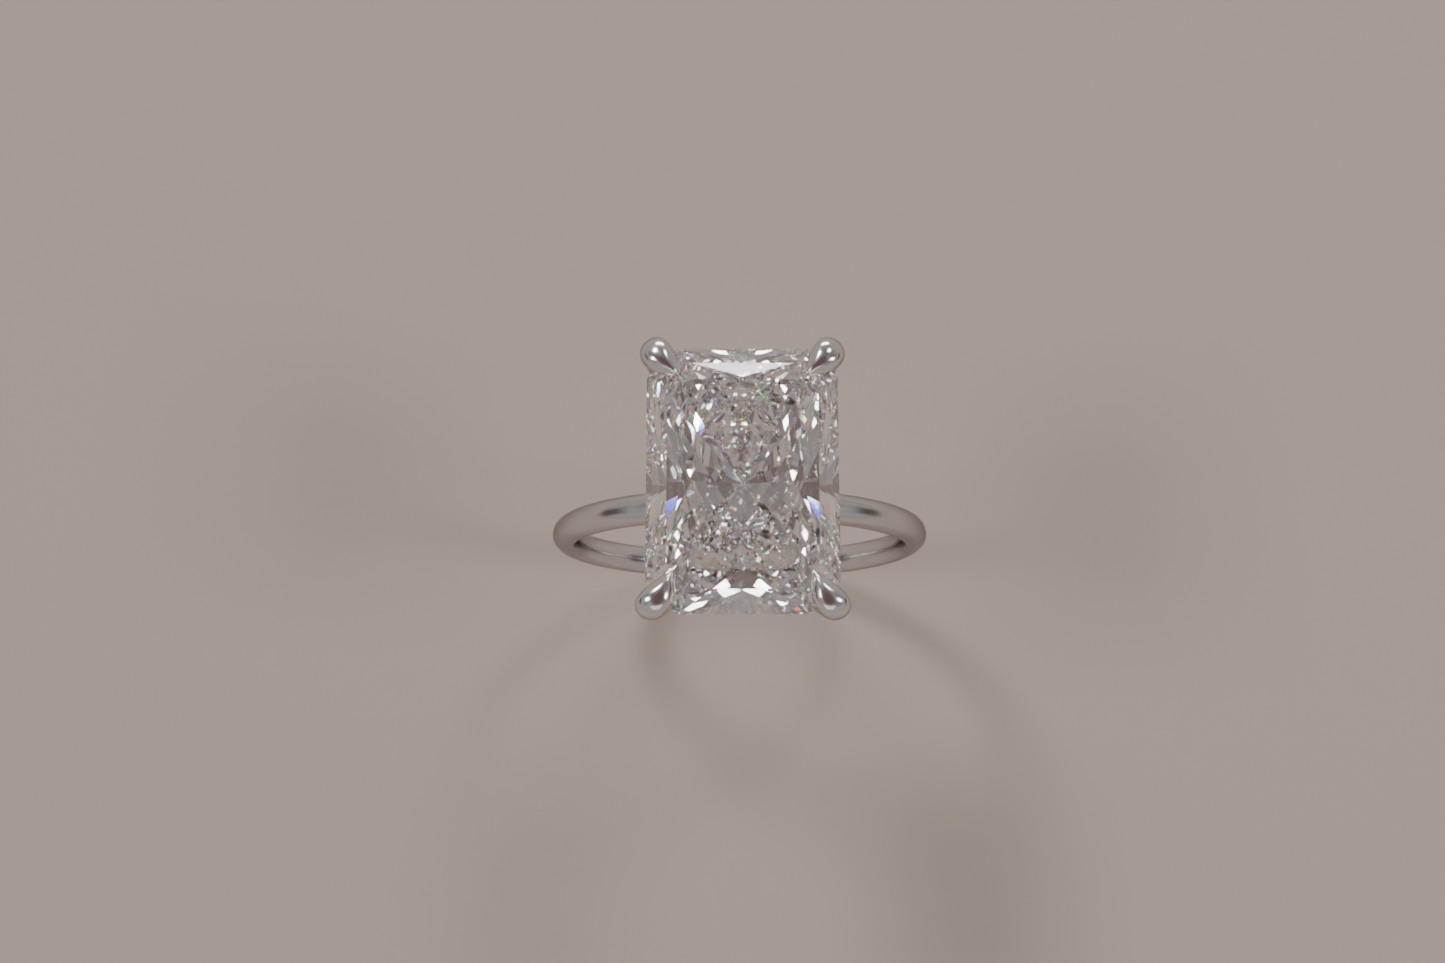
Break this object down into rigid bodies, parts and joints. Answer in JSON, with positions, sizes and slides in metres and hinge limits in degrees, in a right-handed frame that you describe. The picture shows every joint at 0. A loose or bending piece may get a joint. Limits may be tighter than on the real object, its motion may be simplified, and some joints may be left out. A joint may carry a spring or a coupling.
{
  "type": "engagement ring",
  "caption": "Four-claw solitaire engagement ring: cut-cornered rectangular brilliant stone in a basket head on a plain round-wire band.",
  "frame": {"origin": "centre of the finger hole, midway across the band", "axes": "+Z from the finger hole up through the middle of the stone's table; Y along the finger and along the stone's long side, -Y towards the viewer; +X to the right across the band"},
  "size_m": [0.0194, 0.0125, 0.0255],
  "materials": {
    "white_gold": "mirror-polished white gold",
    "stone": "near-colourless faceted gemstone, optically polished"
  },
  "bodies": {
    "root": {"centre_stone": "stone", "claw_front_left": "white_gold", "claw_front_right": "white_gold", "claw_back_left": "white_gold", "claw_back_right": "white_gold", "upper_gallery_rail": "white_gold", "lower_gallery_rail": "white_gold", "shank": "white_gold"}
  },
  "joints": []
}
